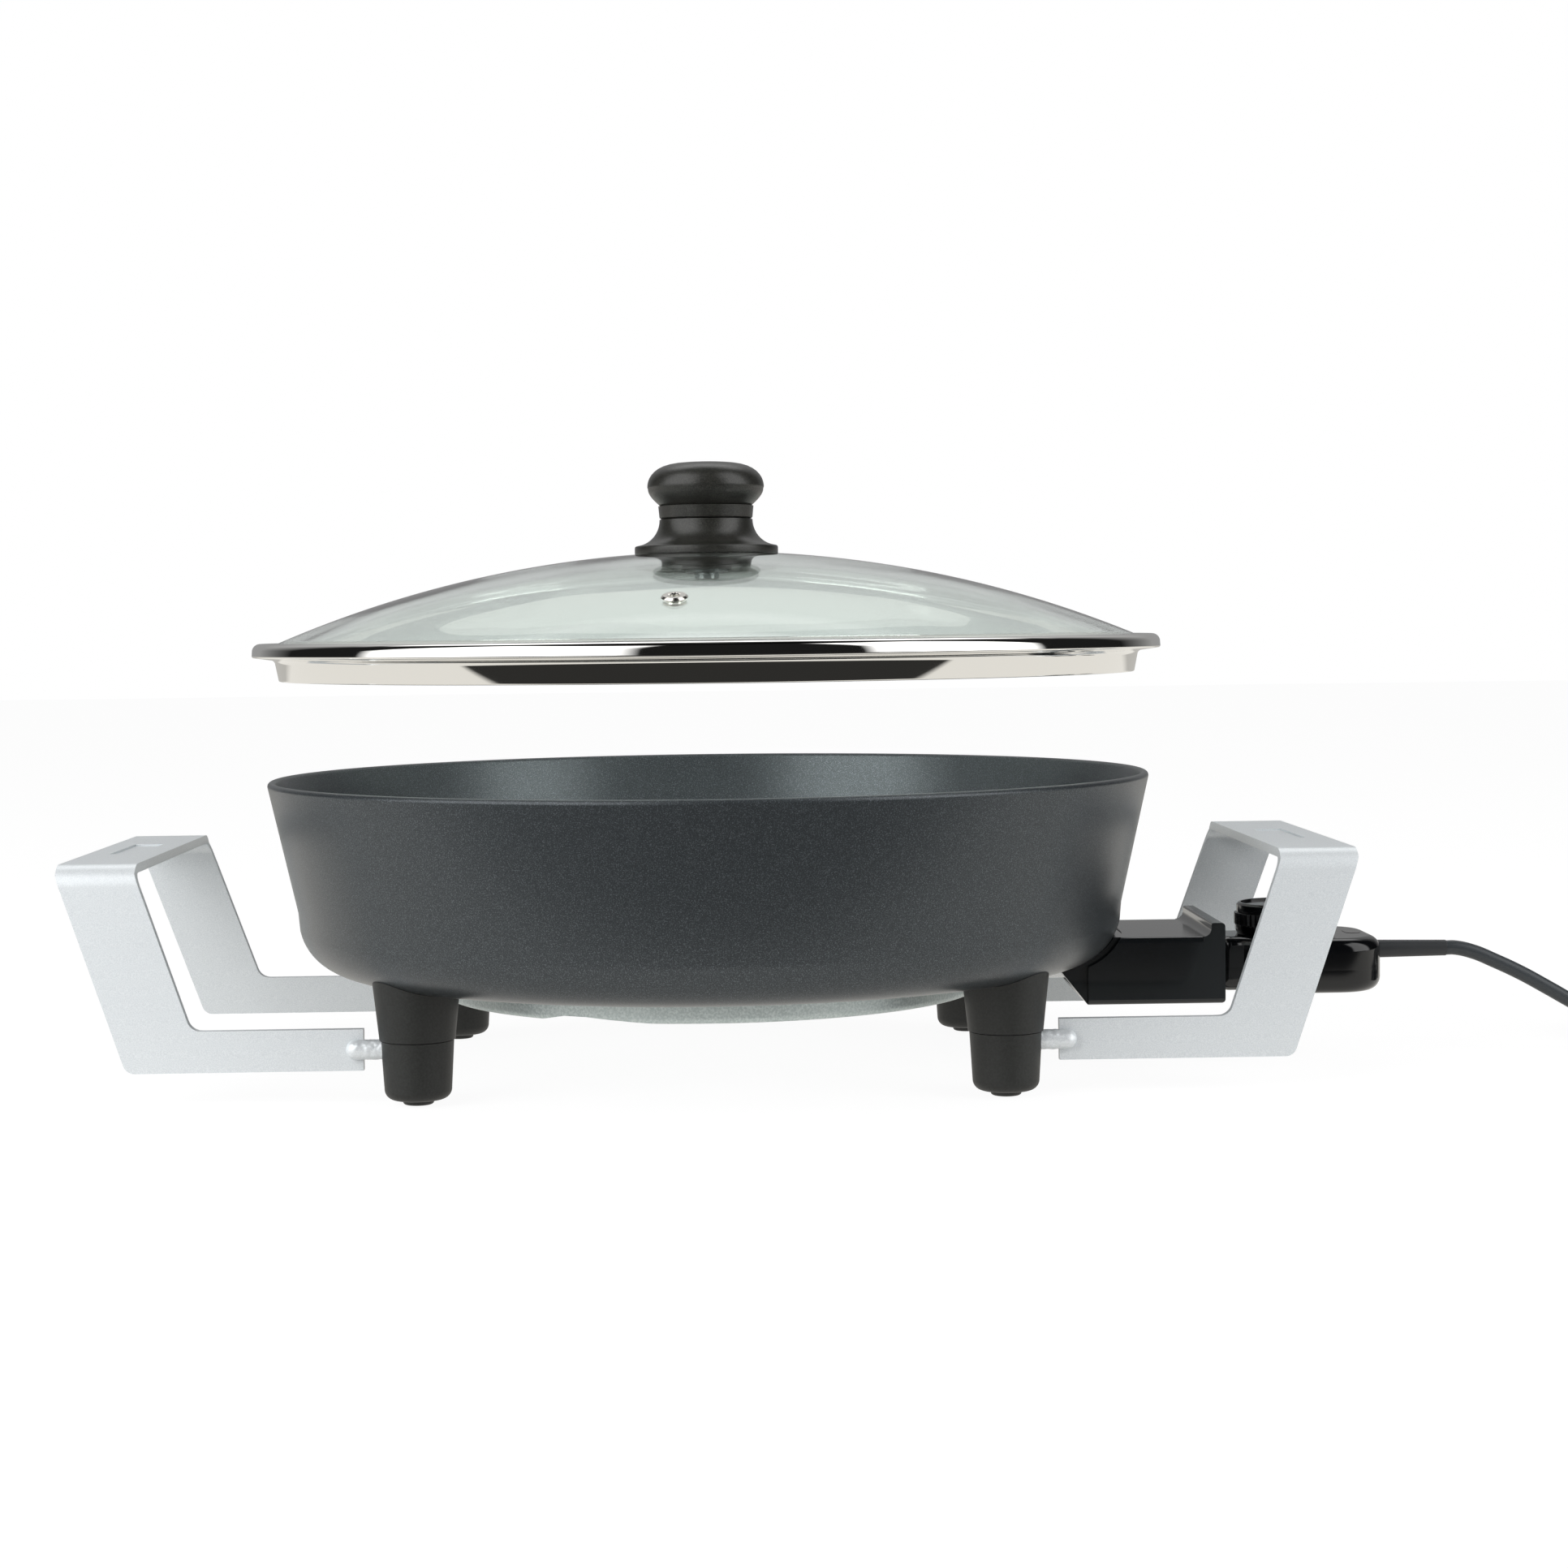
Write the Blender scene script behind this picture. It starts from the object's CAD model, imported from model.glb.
import bpy
from math import atan2, cos, pi, radians, sin, sqrt, tan
from mathutils import Matrix, Vector


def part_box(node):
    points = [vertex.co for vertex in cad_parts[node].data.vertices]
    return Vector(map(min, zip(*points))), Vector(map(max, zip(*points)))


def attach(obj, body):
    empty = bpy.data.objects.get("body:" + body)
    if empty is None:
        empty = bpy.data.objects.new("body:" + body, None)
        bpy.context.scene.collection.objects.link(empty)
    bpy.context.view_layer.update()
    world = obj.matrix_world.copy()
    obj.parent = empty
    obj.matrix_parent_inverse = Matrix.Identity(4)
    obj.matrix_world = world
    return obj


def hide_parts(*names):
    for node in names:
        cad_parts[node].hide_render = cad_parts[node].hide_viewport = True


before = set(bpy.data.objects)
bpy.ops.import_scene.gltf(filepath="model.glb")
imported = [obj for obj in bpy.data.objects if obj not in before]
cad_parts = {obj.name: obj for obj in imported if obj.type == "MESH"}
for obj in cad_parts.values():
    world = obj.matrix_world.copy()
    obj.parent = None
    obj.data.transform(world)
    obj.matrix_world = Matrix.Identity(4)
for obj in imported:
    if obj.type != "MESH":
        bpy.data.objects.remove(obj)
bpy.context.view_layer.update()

# ---- Camera, table and studio light ---------------------------------------------------------------
# A long lens just above the rim, beside the pan's axis. A white table stands in a dim room, and soft boxes
# light the skillet from both sides, from above and from behind.
MM = 0.001
AXIS = (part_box("pan")[0][0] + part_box("pan")[1][0]) / 2 / MM  # the pan's axis, left of the origin
bpy.ops.object.camera_add(location=((3.7 + AXIS) * MM, -1.0575, 0.162))
camera = bpy.context.object
camera.data.lens = 66.15
camera.data.sensor_width = 36
camera.data.clip_start = 0.01
yaw, pitch, roll = [radians(a) for a in (-1.28, 86.82, -0.7)]
aim = Matrix.Rotation(yaw, 3, "Z") @ Matrix.Rotation(pitch, 3, "X") @ Matrix.Rotation(roll, 3, "Z")
camera.rotation_euler = aim.to_euler()
bpy.context.scene.camera = camera
bpy.context.scene.view_settings.view_transform = "Standard"


class Signal:
    """A socket of a finish. Arithmetic on it adds Math nodes."""

    def __init__(self, finish, socket):
        self.finish, self.socket = finish, socket

    def maths(self, operation, *values):
        return self.finish.node("ShaderNodeMath", {"operation": operation}, dict(enumerate((self, *values))))

    def __add__(self, other):
        return self.maths("ADD", other)

    def __mul__(self, other):
        return self.maths("MULTIPLY", other)

    __radd__, __rmul__ = __add__, __mul__


class Finish:
    """A material with one Principled shader, whose sockets take numbers, colours or signals."""

    def __init__(self, name, **sockets):
        self.material = bpy.data.materials.new(name)
        self.material.use_nodes = True
        self.tree = self.material.node_tree
        self.shader = self.tree.nodes["Principled BSDF"]
        self.set(**sockets)

    def plug(self, socket, value):
        if isinstance(value, Signal):
            self.tree.links.new(value.socket, socket)
        else:
            socket.default_value = value

    def set(self, **sockets):
        for name, value in sockets.items():
            self.plug(self.shader.inputs[name.replace("_", " ")], value)

    def node(self, kind, settings={}, sockets={}, out=0):
        made = self.tree.nodes.new(kind)
        for name, value in settings.items():
            setattr(made, name, value)
        for key, value in sockets.items():
            self.plug(made.inputs[key], value)
        return Signal(self, made.outputs[out])

    def place(self):
        return self.node("ShaderNodeTexCoord", out="Object")

    def noise(self, scale, detail=2.0, stretch=(1, 1, 1)):
        along = self.node("ShaderNodeMapping", {}, {"Vector": self.place(), "Scale": stretch})
        return self.node("ShaderNodeTexNoise", {}, {"Vector": along, "Scale": scale, "Detail": detail})

    def light_path(self, kind):
        return self.node("ShaderNodeLightPath", out=kind)

    def maths(self, operation, *values):
        return values[0].maths(operation, *values[1:])

    def between(self, value, low, high, start=0.0, end=1.0):
        return self.node("ShaderNodeMapRange", {}, {0: value, 1: low, 2: high, 3: start, 4: end})

    def mix(self, factor, first, second):
        return self.node("ShaderNodeMix", {"data_type": "RGBA"}, {0: factor, 6: first, 7: second}, 2)

    def bump(self, height, distance, strength=1.0):
        sockets = {"Height": height, "Distance": distance, "Strength": strength}
        self.set(Normal=self.node("ShaderNodeBump", {}, sockets))


def rgb(r, g, b):
    """A colour as a screen shows it, 0 to 255, as light."""
    return (*[((c / 255 + 0.055) / 1.055) ** 2.4 if c > 10 else c / 255 / 12.92 for c in (r, g, b)], 1.0)


bpy.ops.mesh.primitive_plane_add(size=12, location=(0, 0, -0.0003))
table = bpy.context.object
table.name = "table"
bpy.ops.object.transform_apply()
paper = Finish("white_paper", Base_Color=rgb(235, 235, 235), Roughness=0.9, Specular_IOR_Level=0.1)
seen = paper.light_path("Is Camera Ray") + paper.light_path("Is Transmission Ray")
# Polished metal mirrors a table that is dark near its front edge and cream behind it
back = paper.node("ShaderNodeSeparateXYZ", {}, {0: paper.place()}, "Y")
mirrored = paper.between(back, -0.275, -0.262, 0.03, 0.86) * paper.between(back, 0.8, 1.1, 1, 0.6)
white = paper.node("ShaderNodeEmission", {}, {"Color": (1, 1, 1, 1), "Strength": 1.07})
glow = paper.node("ShaderNodeEmission", {}, {"Color": (1, 0.975, 0.92, 1), "Strength": mirrored})
lit = Signal(paper, paper.shader.outputs[0])
lit = paper.node("ShaderNodeMixShader", {}, {0: seen * 0.88, 1: lit, 2: white})
paper.plug(paper.tree.nodes["Material Output"].inputs["Surface"],
           paper.node("ShaderNodeMixShader", {}, {0: paper.light_path("Is Glossy Ray"), 1: lit, 2: glow}))
table.data.materials.append(paper.material)

room = bpy.data.worlds.new("room")
room.use_nodes = True
bpy.context.scene.world = room


class Sky(Finish):
    """The room's own light, built as a finish is."""

    def __init__(self, world):
        self.tree = world.node_tree

    def window(self, value, low, high, soft):
        """1 between two values, 0 outside them."""
        return self.between(value, low - soft, low + soft) * self.between(value, high + soft, high - soft)

    def either(self, factor, first, second):
        return self.node("ShaderNodeMix", {"data_type": "FLOAT"}, {0: factor, 2: first, 3: second})


sky = Sky(room)
way = sky.node("ShaderNodeTexCoord", out="Generated")
east, north, up = [sky.node("ShaderNodeSeparateXYZ", {}, {0: way}, axis) for axis in "XYZ"]
# Degrees round from the camera's side, to the right, and degrees above the level
azimuth = sky.maths("ARCTAN2", east, north * -1) * (180 / pi)
rise = sky.maths("ARCSINE", up) * (180 / pi)
behind = sky.between(sky.maths("ABSOLUTE", azimuth), 125, 150)
box_glow, dark = 2.2, 0.012
left_side = sky.window(azimuth, -91, -20, 4) * box_glow
right_side = sky.window(azimuth, 41, 88, 3) * box_glow
side_boxes = (left_side + right_side) * sky.window(rise, -6, 62, 4)
back_wall = sky.between(rise, 12, 32, 0.32, 0.5)
back_wall = back_wall + sky.window(rise, 39, 41.5, 1) * 0.3 + sky.window(rise, 44.5, 64, 1) * 1.6
mirrored = sky.either(behind, side_boxes + dark, back_wall) * sky.between(rise, 66, 72, 1, 0.2)
fill = sky.between(north, -0.4, 0.3, 0.58, 0.45) * sky.between(up, 0.25, 0.75, 1, 0.45)
direct = sky.light_path("Is Camera Ray") + sky.light_path("Is Transmission Ray")
strength = sky.either(sky.light_path("Is Glossy Ray"), fill, mirrored)
shine = room.node_tree.nodes["Background"]
shine.inputs["Color"].default_value = (1, 1, 1, 1)
sky.plug(shine.inputs["Strength"], sky.either(sky.between(direct, 0, 1), strength, 1.0))


def soft_box(name, azimuth, elevation, distance, width, tall, power):
    """An area lamp that looks at the skillet; azimuth 0 is behind the camera, 90 is to its right."""
    a, e = radians(azimuth), radians(elevation)
    place = Vector((sin(a) * cos(e), -cos(a) * cos(e), sin(e))) * distance + Vector((0, 0, 0.1))
    bpy.ops.object.light_add(type="AREA", location=place)
    lamp = bpy.context.object
    lamp.name = name
    lamp.rotation_euler = (Vector((0, 0, 0.1)) - place).to_track_quat("-Z", "Y").to_euler()
    lamp.data.shape = "RECTANGLE"
    lamp.data.size, lamp.data.size_y = width, tall
    lamp.data.energy = power
    lamp.visible_glossy = False


soft_box("box_left", -48, 24, 1.7, 1.2, 1.2, 23)
soft_box("box_right", 58, 22, 1.7, 0.9, 1.1, 13)
soft_box("box_above", 170, 72, 1.8, 1.6, 1.2, 4)

# ---- Cord -----------------------------------------------------------------------------------------
# A round mains lead with a rubber sheath. It leaves the controller through a strain relief, sags on to
# the table, is wound two turns wide and three high, and ends in its plug.
cord_d = 5.4
coil_x, coil_y, coil_low = 374, 30, 0.6
inner_turn, outer_turn = 27.3, 32.7

route = [
    (272, 0, 39.2), (275, 0, 39.2), (282, 0, 37.6), (290, 0, 34.2), (300, 0, 29.4), (310, 0, 23.8),
    (320, 0, 18), (330, -0.2, 12.6), (340, -0.6, 8), (350, -1.2, 5), (361, -2.1, 3.6),
]
turns = [(outer_turn, 0.5), (inner_turn, 0.5), (inner_turn, 1.5),
         (outer_turn, 1.5), (outer_turn, 2.5), (inner_turn, 2.5)]
steps = 20
for step in range(5 * steps + steps // 4):
    lap, part = divmod(step, steps)
    radius, layer = turns[lap]
    # The last fifth of a turn leads over to the place of the next one
    ahead = max(0.0, (part / steps - 0.8) / 0.2) if lap < 5 else 0.0
    radius += (turns[min(lap + 1, 5)][0] - radius) * ahead
    layer += (turns[min(lap + 1, 5)][1] - layer) * ahead
    a = 2 * pi * step / steps - pi / 2
    climb = [0.0, 0.2, 0.6, 1.2, 1.8][part] if lap == 5 else 0.0
    route.append((coil_x + radius * cos(a), coil_y + radius * sin(a), coil_low + layer * cord_d + climb))
route += [(401.3, y, z) for y, z in ((30, 16.3), (40, 18.4), (48, 19.7), (58, 19.4), (68, 18.6), (70, 18.6))]

bpy.ops.curve.primitive_bezier_curve_add()
cord = bpy.context.object
cord.name = "mains_cord"
cord.data.splines.clear()
line = cord.data.splines.new("BEZIER")
line.bezier_points.add(len(route) - 1)
for point, (x, y, z) in zip(line.bezier_points, route):
    point.co = ((x + AXIS) * MM, y * MM, z * MM)
    point.handle_left_type = point.handle_right_type = "AUTO"
cord.data.bevel_depth = cord_d / 2 * MM
cord.data.bevel_resolution = 6
cord.data.resolution_u = 6
cord.data.use_fill_caps = True
cord.location = cord.rotation_euler = (0, 0, 0)

sheath = Finish("cord_sheath", Base_Color=rgb(50, 54, 57), Roughness=0.42)
sheath.bump(sheath.noise(2600, 2), 0.00004, 0.5)
cord.data.materials.append(sheath.material)
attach(cord, "controller")
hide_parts("cord", "cord_coil")


def eased_copy(node, width=0.0, segments=2):
    """A copy of a CAD piece, its triangles merged into faces, its edges rounded, its curves smooth."""
    bpy.ops.object.select_all(action="DESELECT")
    piece = bpy.data.objects.new("eased_" + node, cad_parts[node].data.copy())
    bpy.context.collection.objects.link(piece)
    piece.select_set(True)
    bpy.context.view_layer.objects.active = piece
    bpy.ops.object.mode_set(mode="EDIT")
    bpy.ops.mesh.select_all(action="SELECT")
    bpy.ops.mesh.remove_doubles(threshold=0.000002)
    bpy.ops.mesh.dissolve_limited(angle_limit=radians(0.5))
    bpy.ops.object.mode_set(mode="OBJECT")
    if width:
        edge = piece.modifiers.new("edges", "BEVEL")
        edge.width, edge.segments = width * MM, segments
        edge.limit_method, edge.angle_limit = "ANGLE", radians(30)
        bpy.ops.object.modifier_apply(modifier="edges")
    bpy.ops.object.shade_smooth_by_angle(angle=radians(35))
    # Large faces shade flat right up to their rounded edges
    piece.modifiers.new("flat", "WEIGHTED_NORMAL").keep_sharp = True
    bpy.ops.object.modifier_apply(modifier="flat")
    return piece


def fit(piece, finish, slot, body, *nodes):
    """Gives a piece its finish, seats it on its body and puts it in the place of its CAD nodes."""
    piece.data.materials.clear()
    piece.data.materials.append(finish.material)
    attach(piece, body)
    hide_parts(*nodes)
    return piece


def dress(finish, *nodes):
    """Gives CAD pieces whose shape stays as it is their finish."""
    for node in nodes:
        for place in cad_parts[node].material_slots:
            place.material = finish.material


# The moulded sleeve that guides the cord out, the strap round its coil and the round two-pin plug.
rubber = Finish("moulded_rubber", Base_Color=rgb(44, 46, 48), Roughness=0.5)
rubber.bump(rubber.noise(1800, 3), 0.00005, 0.4)
fit(eased_copy("strain_relief", 0.2), rubber, "cord_rubber", "controller", "strain_relief")
fit(eased_copy("cord_tie", 0.15), rubber, "moulded_black", "controller", "cord_tie")
fit(eased_copy("plug_body", 0.5), rubber, "moulded_black", "controller", "plug_body")
steel = Finish("turned_steel", Base_Color=rgb(196, 198, 200), Metallic=1.0)
steel.set(Roughness=steel.between(steel.noise(900, 2, (1, 1, 12)), 0.3, 0.7, 0.2, 0.38))
dress(steel, "plug_pins")

# ---- Pan ------------------------------------------------------------------------------------------
# Drawn from one thick aluminium sheet, with a thin full-round rim, a leaning wall and a wide round lower
# corner. A sprayed non-stick coating, charcoal with fine pale flecks, covers it inside and out.


def arc(centre, radius, start, end, steps=8):
    """Points of an arc in a section, from one angle to another in degrees."""
    angles = [radians(start + (end - start) * i / steps) for i in range(steps + 1)]
    return [(centre[0] + radius * cos(a), centre[1] + radius * sin(a)) for a in angles]


def turn(name, section, steps=160, smooth=35):
    """A piece turned round the pan's axis from half its section, points (radius, height) in millimetres."""
    bpy.ops.object.select_all(action="DESELECT")
    bpy.ops.mesh.primitive_plane_add(size=MM, location=((AXIS + section[0][0]) * MM, 0, section[0][1] * MM))
    piece = bpy.context.object
    piece.name = name
    bpy.ops.object.transform_apply()
    bpy.ops.object.mode_set(mode="EDIT")
    bpy.ops.mesh.merge(type="CENTER")
    for (r0, z0), (r1, z1) in zip(section, section[1:]):
        step = ((r1 - r0) * MM, 0, (z1 - z0) * MM)
        bpy.ops.mesh.extrude_region_move(TRANSFORM_OT_translate={"value": step})
    bpy.ops.mesh.select_all(action="SELECT")
    bpy.ops.mesh.spin(steps=steps, angle=2 * pi, center=(AXIS * MM, 0, 0), axis=(0, 0, 1))
    bpy.ops.mesh.select_all(action="SELECT")
    bpy.ops.mesh.remove_doubles(threshold=0.000002)
    bpy.ops.mesh.normals_make_consistent(inside=False)
    bpy.ops.object.mode_set(mode="OBJECT")
    bpy.ops.object.shade_smooth_by_angle(angle=radians(smooth))
    return piece


base_z, floor_z, lean = 38.8, 42.8, 11.5
foot_of_wall = (150, 57.8 + (150 - 149.434) / tan(radians(lean)))
pan = turn("pan_body", [
    (0, base_z), (60, base_z), (110, base_z), *arc((130.815, 57.8), 19, -90, -lean, 14), foot_of_wall,
    *arc((158.5, 106.1), 1.5, -lean, 180 - lean, 10), (148, 65.9),
    *arc((131.018, 58.8), 16, -lean, -90, 14), (110, floor_z), (60, floor_z), (0, floor_z)], 200)
coating = Finish("speckled_nonstick", Metallic=0.5, Roughness=0.31)
grain = coating.noise(3000, 1)
fleck = coating.between(grain, 0.5, 0.75)
coating.set(Base_Color=coating.mix(fleck, rgb(58, 62, 65), rgb(98, 104, 107)))
coating.bump(grain, 0.00006, 0.45)
fit(pan, coating, "nonstick", "skillet", "pan")

# ---- Heater ---------------------------------------------------------------------------------------
# A cast aluminium disc under the pan's floor, left bare, its edge grainy from the mould. The tubular
# steel element is cast into it, and its two ends and their contact pins stand out towards the socket.
cast = Finish("cast_aluminium", Metallic=0.35)
skin = cast.noise(1300, 4)
cast.set(Base_Color=cast.mix(cast.between(skin, 0.4, 0.65), rgb(192, 203, 201), rgb(224, 232, 230)),
         Roughness=cast.between(skin, 0.3, 0.7, 0.34, 0.6))
cast.bump(skin, 0.00015, 0.5)
fit(eased_copy("heater_plate", 0.4), cast, "cast_aluminium", "skillet", "heater_plate")
dress(steel, "heating_element")

# ---- Feet -----------------------------------------------------------------------------------------
# Each foot is two mouldings of matt black heat-proof plastic that a screw clamps under the pan, with a
# thin joint line between them and a round pad underneath.
matt = Finish("matt_black_moulding", Roughness=0.52)
mould = matt.noise(1300, 3)
matt.set(Base_Color=matt.mix(matt.between(mould, 0.35, 0.7), rgb(15, 17, 16), rgb(28, 30, 29)))
matt.bump(mould, 0.00005, 0.4)
for corner in ("front_left", "front_right", "back_left", "back_right"):
    for part in ("foot_upper_", "foot_lower_", "foot_pad_"):
        fit(eased_copy(part + corner, 0.25), matt, "moulded_black", "skillet", part + corner)
dress(steel, "foot_screws")

# ---- Handles --------------------------------------------------------------------------------------
# A flat steel strap bent down at both ends of the grip, its legs leaning in to straight arms. A bullet
# nosed rod is welded to the outside of each arm and runs into its foot. Both are painted satin silver.
paint = Finish("satin_silver_paint", Metallic=0.35, Roughness=0.42)
sparkle = paint.noise(3000, 2)
paint.set(Base_Color=paint.mix(paint.between(sparkle, 0.35, 0.7), rgb(215, 220, 223), rgb(233, 237, 239)))
paint.bump(sparkle, 0.00003, 0.4)
for hand in ("left", "right"):
    fit(eased_copy("handle_strap_" + hand, 0.3, 2), paint, "satin_silver", "skillet", "handle_strap_" + hand)
    rod = eased_copy("handle_rods_" + hand)
    lumps = bpy.data.textures.new("weld_lumps_" + hand, "CLOUDS")
    lumps.noise_scale = 0.0014
    for kind, settings in (("REMESH", {"mode": "VOXEL", "voxel_size": 0.0004}),
                           ("DISPLACE", {"texture": lumps, "strength": 0.0006, "mid_level": 0.3}),
                           ("SMOOTH", {"iterations": 2})):
        shaped = rod.modifiers.new(kind, kind)
        for setting, value in settings.items():
            setattr(shaped, setting, value)
        bpy.ops.object.modifier_apply(modifier=kind)
    bpy.ops.object.shade_smooth()
    fit(rod, paint, "satin_silver", "skillet", "handle_rods_" + hand)

# ---- Socket shroud --------------------------------------------------------------------------------
# A polished black moulding round the contact pins, open to the pan, with a raised lip along its outer
# top edge and a mouth for the controller. Two screws hold it to the pan's floor.
sheen = Finish("shroud_moulding", Base_Color=rgb(24, 27, 29), Roughness=0.16)
fit(eased_copy("socket_shroud", 0.7, 4), sheen, "gloss_black", "skillet", "socket_shroud")
dress(steel, "shroud_screws")

# ---- Controller -----------------------------------------------------------------------------------
# Two polished black shells screwed together along a joint line, with a narrow neck that enters the
# shroud. Inside are the contact block with its brass sleeves, the thermostat switch and its sensing rod.
gloss = Finish("gloss_black_moulding", Base_Color=rgb(8, 9, 11), Roughness=0.11)
for shell in ("controller_lower_shell", "controller_upper_shell"):
    fit(eased_copy(shell, 0.12, 1), gloss, "gloss_black", "controller", shell)
brass = Finish("brass", Base_Color=rgb(214, 182, 108), Metallic=1.0, Roughness=0.28)
ceramic = Finish("steatite", Base_Color=rgb(222, 218, 206), Roughness=0.6)
dress(steel, "controller_screws", "sensing_rod")
dress(matt, "contact_block")
dress(brass, "contact_sleeves")
dress(ceramic, "thermostat_switch")
lens = Finish("smoked_lens", Base_Color=rgb(30, 22, 22), Roughness=0.1)
dress(lens, "pilot_lens")

# ---- Dial -----------------------------------------------------------------------------------------
# A black moulded dial with fine grip ribs below a smooth ring, a sunk top and a pale insert that shows
# where it points. A steel shaft ties it to the switch.
fit(eased_copy("dial", 0.12), gloss, "gloss_black", "dial_knob", "dial")
pale = Finish("pale_insert", Base_Color=rgb(200, 203, 203), Roughness=0.35)
dress(pale, "dial_pointer")
dress(steel, "dial_shaft")

# ---- Lid glass ------------------------------------------------------------------------------------
# A shallow dome of tempered glass with a faint green grey tint, its edge in the steel rim. The holes for
# the knob's screw and for the steam vent are in the CAD alone, and are not drawn here.
dome_low, dome_r, glass_t = -209.18, 397.88, 4.0
lid_mid = 154.2


def dome_angle(radius, reach):
    """The angle above the level at which a dome of some radius is reach wide."""
    return 90 - atan2(reach, sqrt(radius ** 2 - reach ** 2)) * 180 / pi


dome = turn("lid_dome", [
    *arc((0, dome_low), dome_r, 90, dome_angle(dome_r, 156.6), 40), *arc((160.3, lid_mid + 1), 1, 90, 0, 3),
    *arc((160.3, lid_mid - 1), 1, 0, -90, 3), (157, lid_mid - 2),
    *arc((0, dome_low), dome_r - glass_t, dome_angle(dome_r - glass_t, 155.4), 90, 40)], 256)
glass = Finish("tinted_glass", Base_Color=(0.84, 0.90, 0.87, 1.0), Roughness=0.0,
               Transmission_Weight=1.0, IOR=1.5)
glass.bump(glass.noise(13, 1), 0.0004)
fit(dome, glass, "tinted_glass", "lid", "lid_glass")
dome.visible_shadow = False

# ---- Lid rim --------------------------------------------------------------------------------------
# Mirror-polished steel, rolled round the edge of the glass into a full-round bead, with a skirt that
# drops inside the pan's wall.
sheet, lid_z, lid_top, flange_r = 0.8, 151.3, 157.1, 164.5
skirt_r, skirt_low, skirt_lean = 156.25, 143.7, 11.5
rim = turn("lid_band", [
    (158.5, lid_top - 0.4), *arc((158.9, lid_top - 0.4), 0.4, 180, 90, 3),
    *arc((161.5, lid_top - 2.9), 2.9, 90, 12, 9), *arc((flange_r - 0.72, lid_z + 1.5), 0.7, 4, -74, 6),
    *arc((158.05, lid_z - 1.8), 1.8, 90, 180 - skirt_lean, 8),
    (skirt_r - 1.06, skirt_low + 0.4), *arc((skirt_r - 1.5, skirt_low + 0.35), 0.42, 0, -180, 6),
    (skirt_r - sheet, lid_z - 1.6), *arc((158.05, lid_z - 1.8), 2.6, 180 - skirt_lean, 90, 8),
    (flange_r - 2.6, lid_z + 1.4), *arc((161.5, lid_top - 2.9), 2.1, 0, 90, 6), (158.9, lid_top - 0.8),
    (158.5, lid_top - 0.4)], 256, 40)
mirror = Finish("mirror_steel", Base_Color=rgb(238, 237, 234), Metallic=1.0, Roughness=0.04)
fit(rim, mirror, "polished_steel", "lid", "lid_rim")
satin = Finish("satin_steel", Base_Color=rgb(240, 237, 230), Metallic=1.0, Roughness=0.2)
fit(eased_copy("lid_vent", 0.15), satin, "polished_steel", "lid", "lid_vent")

# ---- Knob -----------------------------------------------------------------------------------------
# Two turned-looking mouldings of black grained plastic on the glass: a foot with a hollow flare, and a
# cap with a crease round its widest place. One screw with a washer and a seal draws them down.
knob_z, split_z, crease_z, knob_top = 187.84, 200.44, 212.3, 221.3
foot_r, neck_r, cap_r = 26.2, 17.0, 21.3
bore = 2.6
foot = turn("knob_foot", [
    (bore, knob_z + 0.9), *arc((foot_r - 0.5, knob_z + 0.4), 0.5, -90, 0, 3),
    *arc((foot_r - 0.9, knob_z + 2.2), 0.9, 0, 90, 5),
    *[(neck_r + (foot_r - neck_r) * (1 - sin(radians(a))), split_z - 9.5 * cos(radians(a)))
      for a in range(10, 91, 8)],
    (neck_r, split_z - 0.3), (neck_r - 0.4, split_z), (bore, split_z), (bore, knob_z + 0.9)], 128)
bowl_z, collar_r, overhang = split_z + 4.9, neck_r + 0.4, 0.2
cap = turn("knob_cap_body", [
    (bore, split_z + 0.3), (neck_r - 0.5, split_z + 0.3), (neck_r, split_z + 0.7), (collar_r, bowl_z),
    (neck_r - 0.3, bowl_z + 0.1),
    *[(neck_r - 0.3 + (cap_r - overhang - neck_r + 0.3) * sin(radians(t)),
       bowl_z + 0.1 + (crease_z - bowl_z - 0.7) * t / 90)
      for t in (8, 18, 30, 42, 54, 66, 78, 90)],
    (cap_r - 0.05, crease_z - 0.25), (cap_r, crease_z),
    *[(cap_r * cos(radians(a)) ** 0.52, crease_z + (knob_top - crease_z) * sin(radians(a)))
      for a in (4, 9, 15, 22, 30, 39, 48, 57, 66, 74, 80, 85, 88)],
    (0, knob_top), (0, crease_z - 3), (bore, crease_z - 3), (bore, split_z + 0.3)], 128)
grained = Finish("grained_black", Roughness=0.3)
leather = grained.noise(2300, 2)
grained.set(Base_Color=grained.mix(grained.between(leather, 0.4, 0.7), rgb(27, 27, 25), rgb(50, 50, 46)))
grained.bump(leather, 0.0001, 0.6)
fit(foot, grained, "moulded_black", "lid", "knob_base")
fit(cap, grained, "moulded_black", "lid", "knob_cap")
seal = Finish("grey_silicone", Base_Color=rgb(150, 150, 146), Roughness=0.6)
dress(steel, "knob_screw", "knob_washer")
dress(seal, "knob_seal")
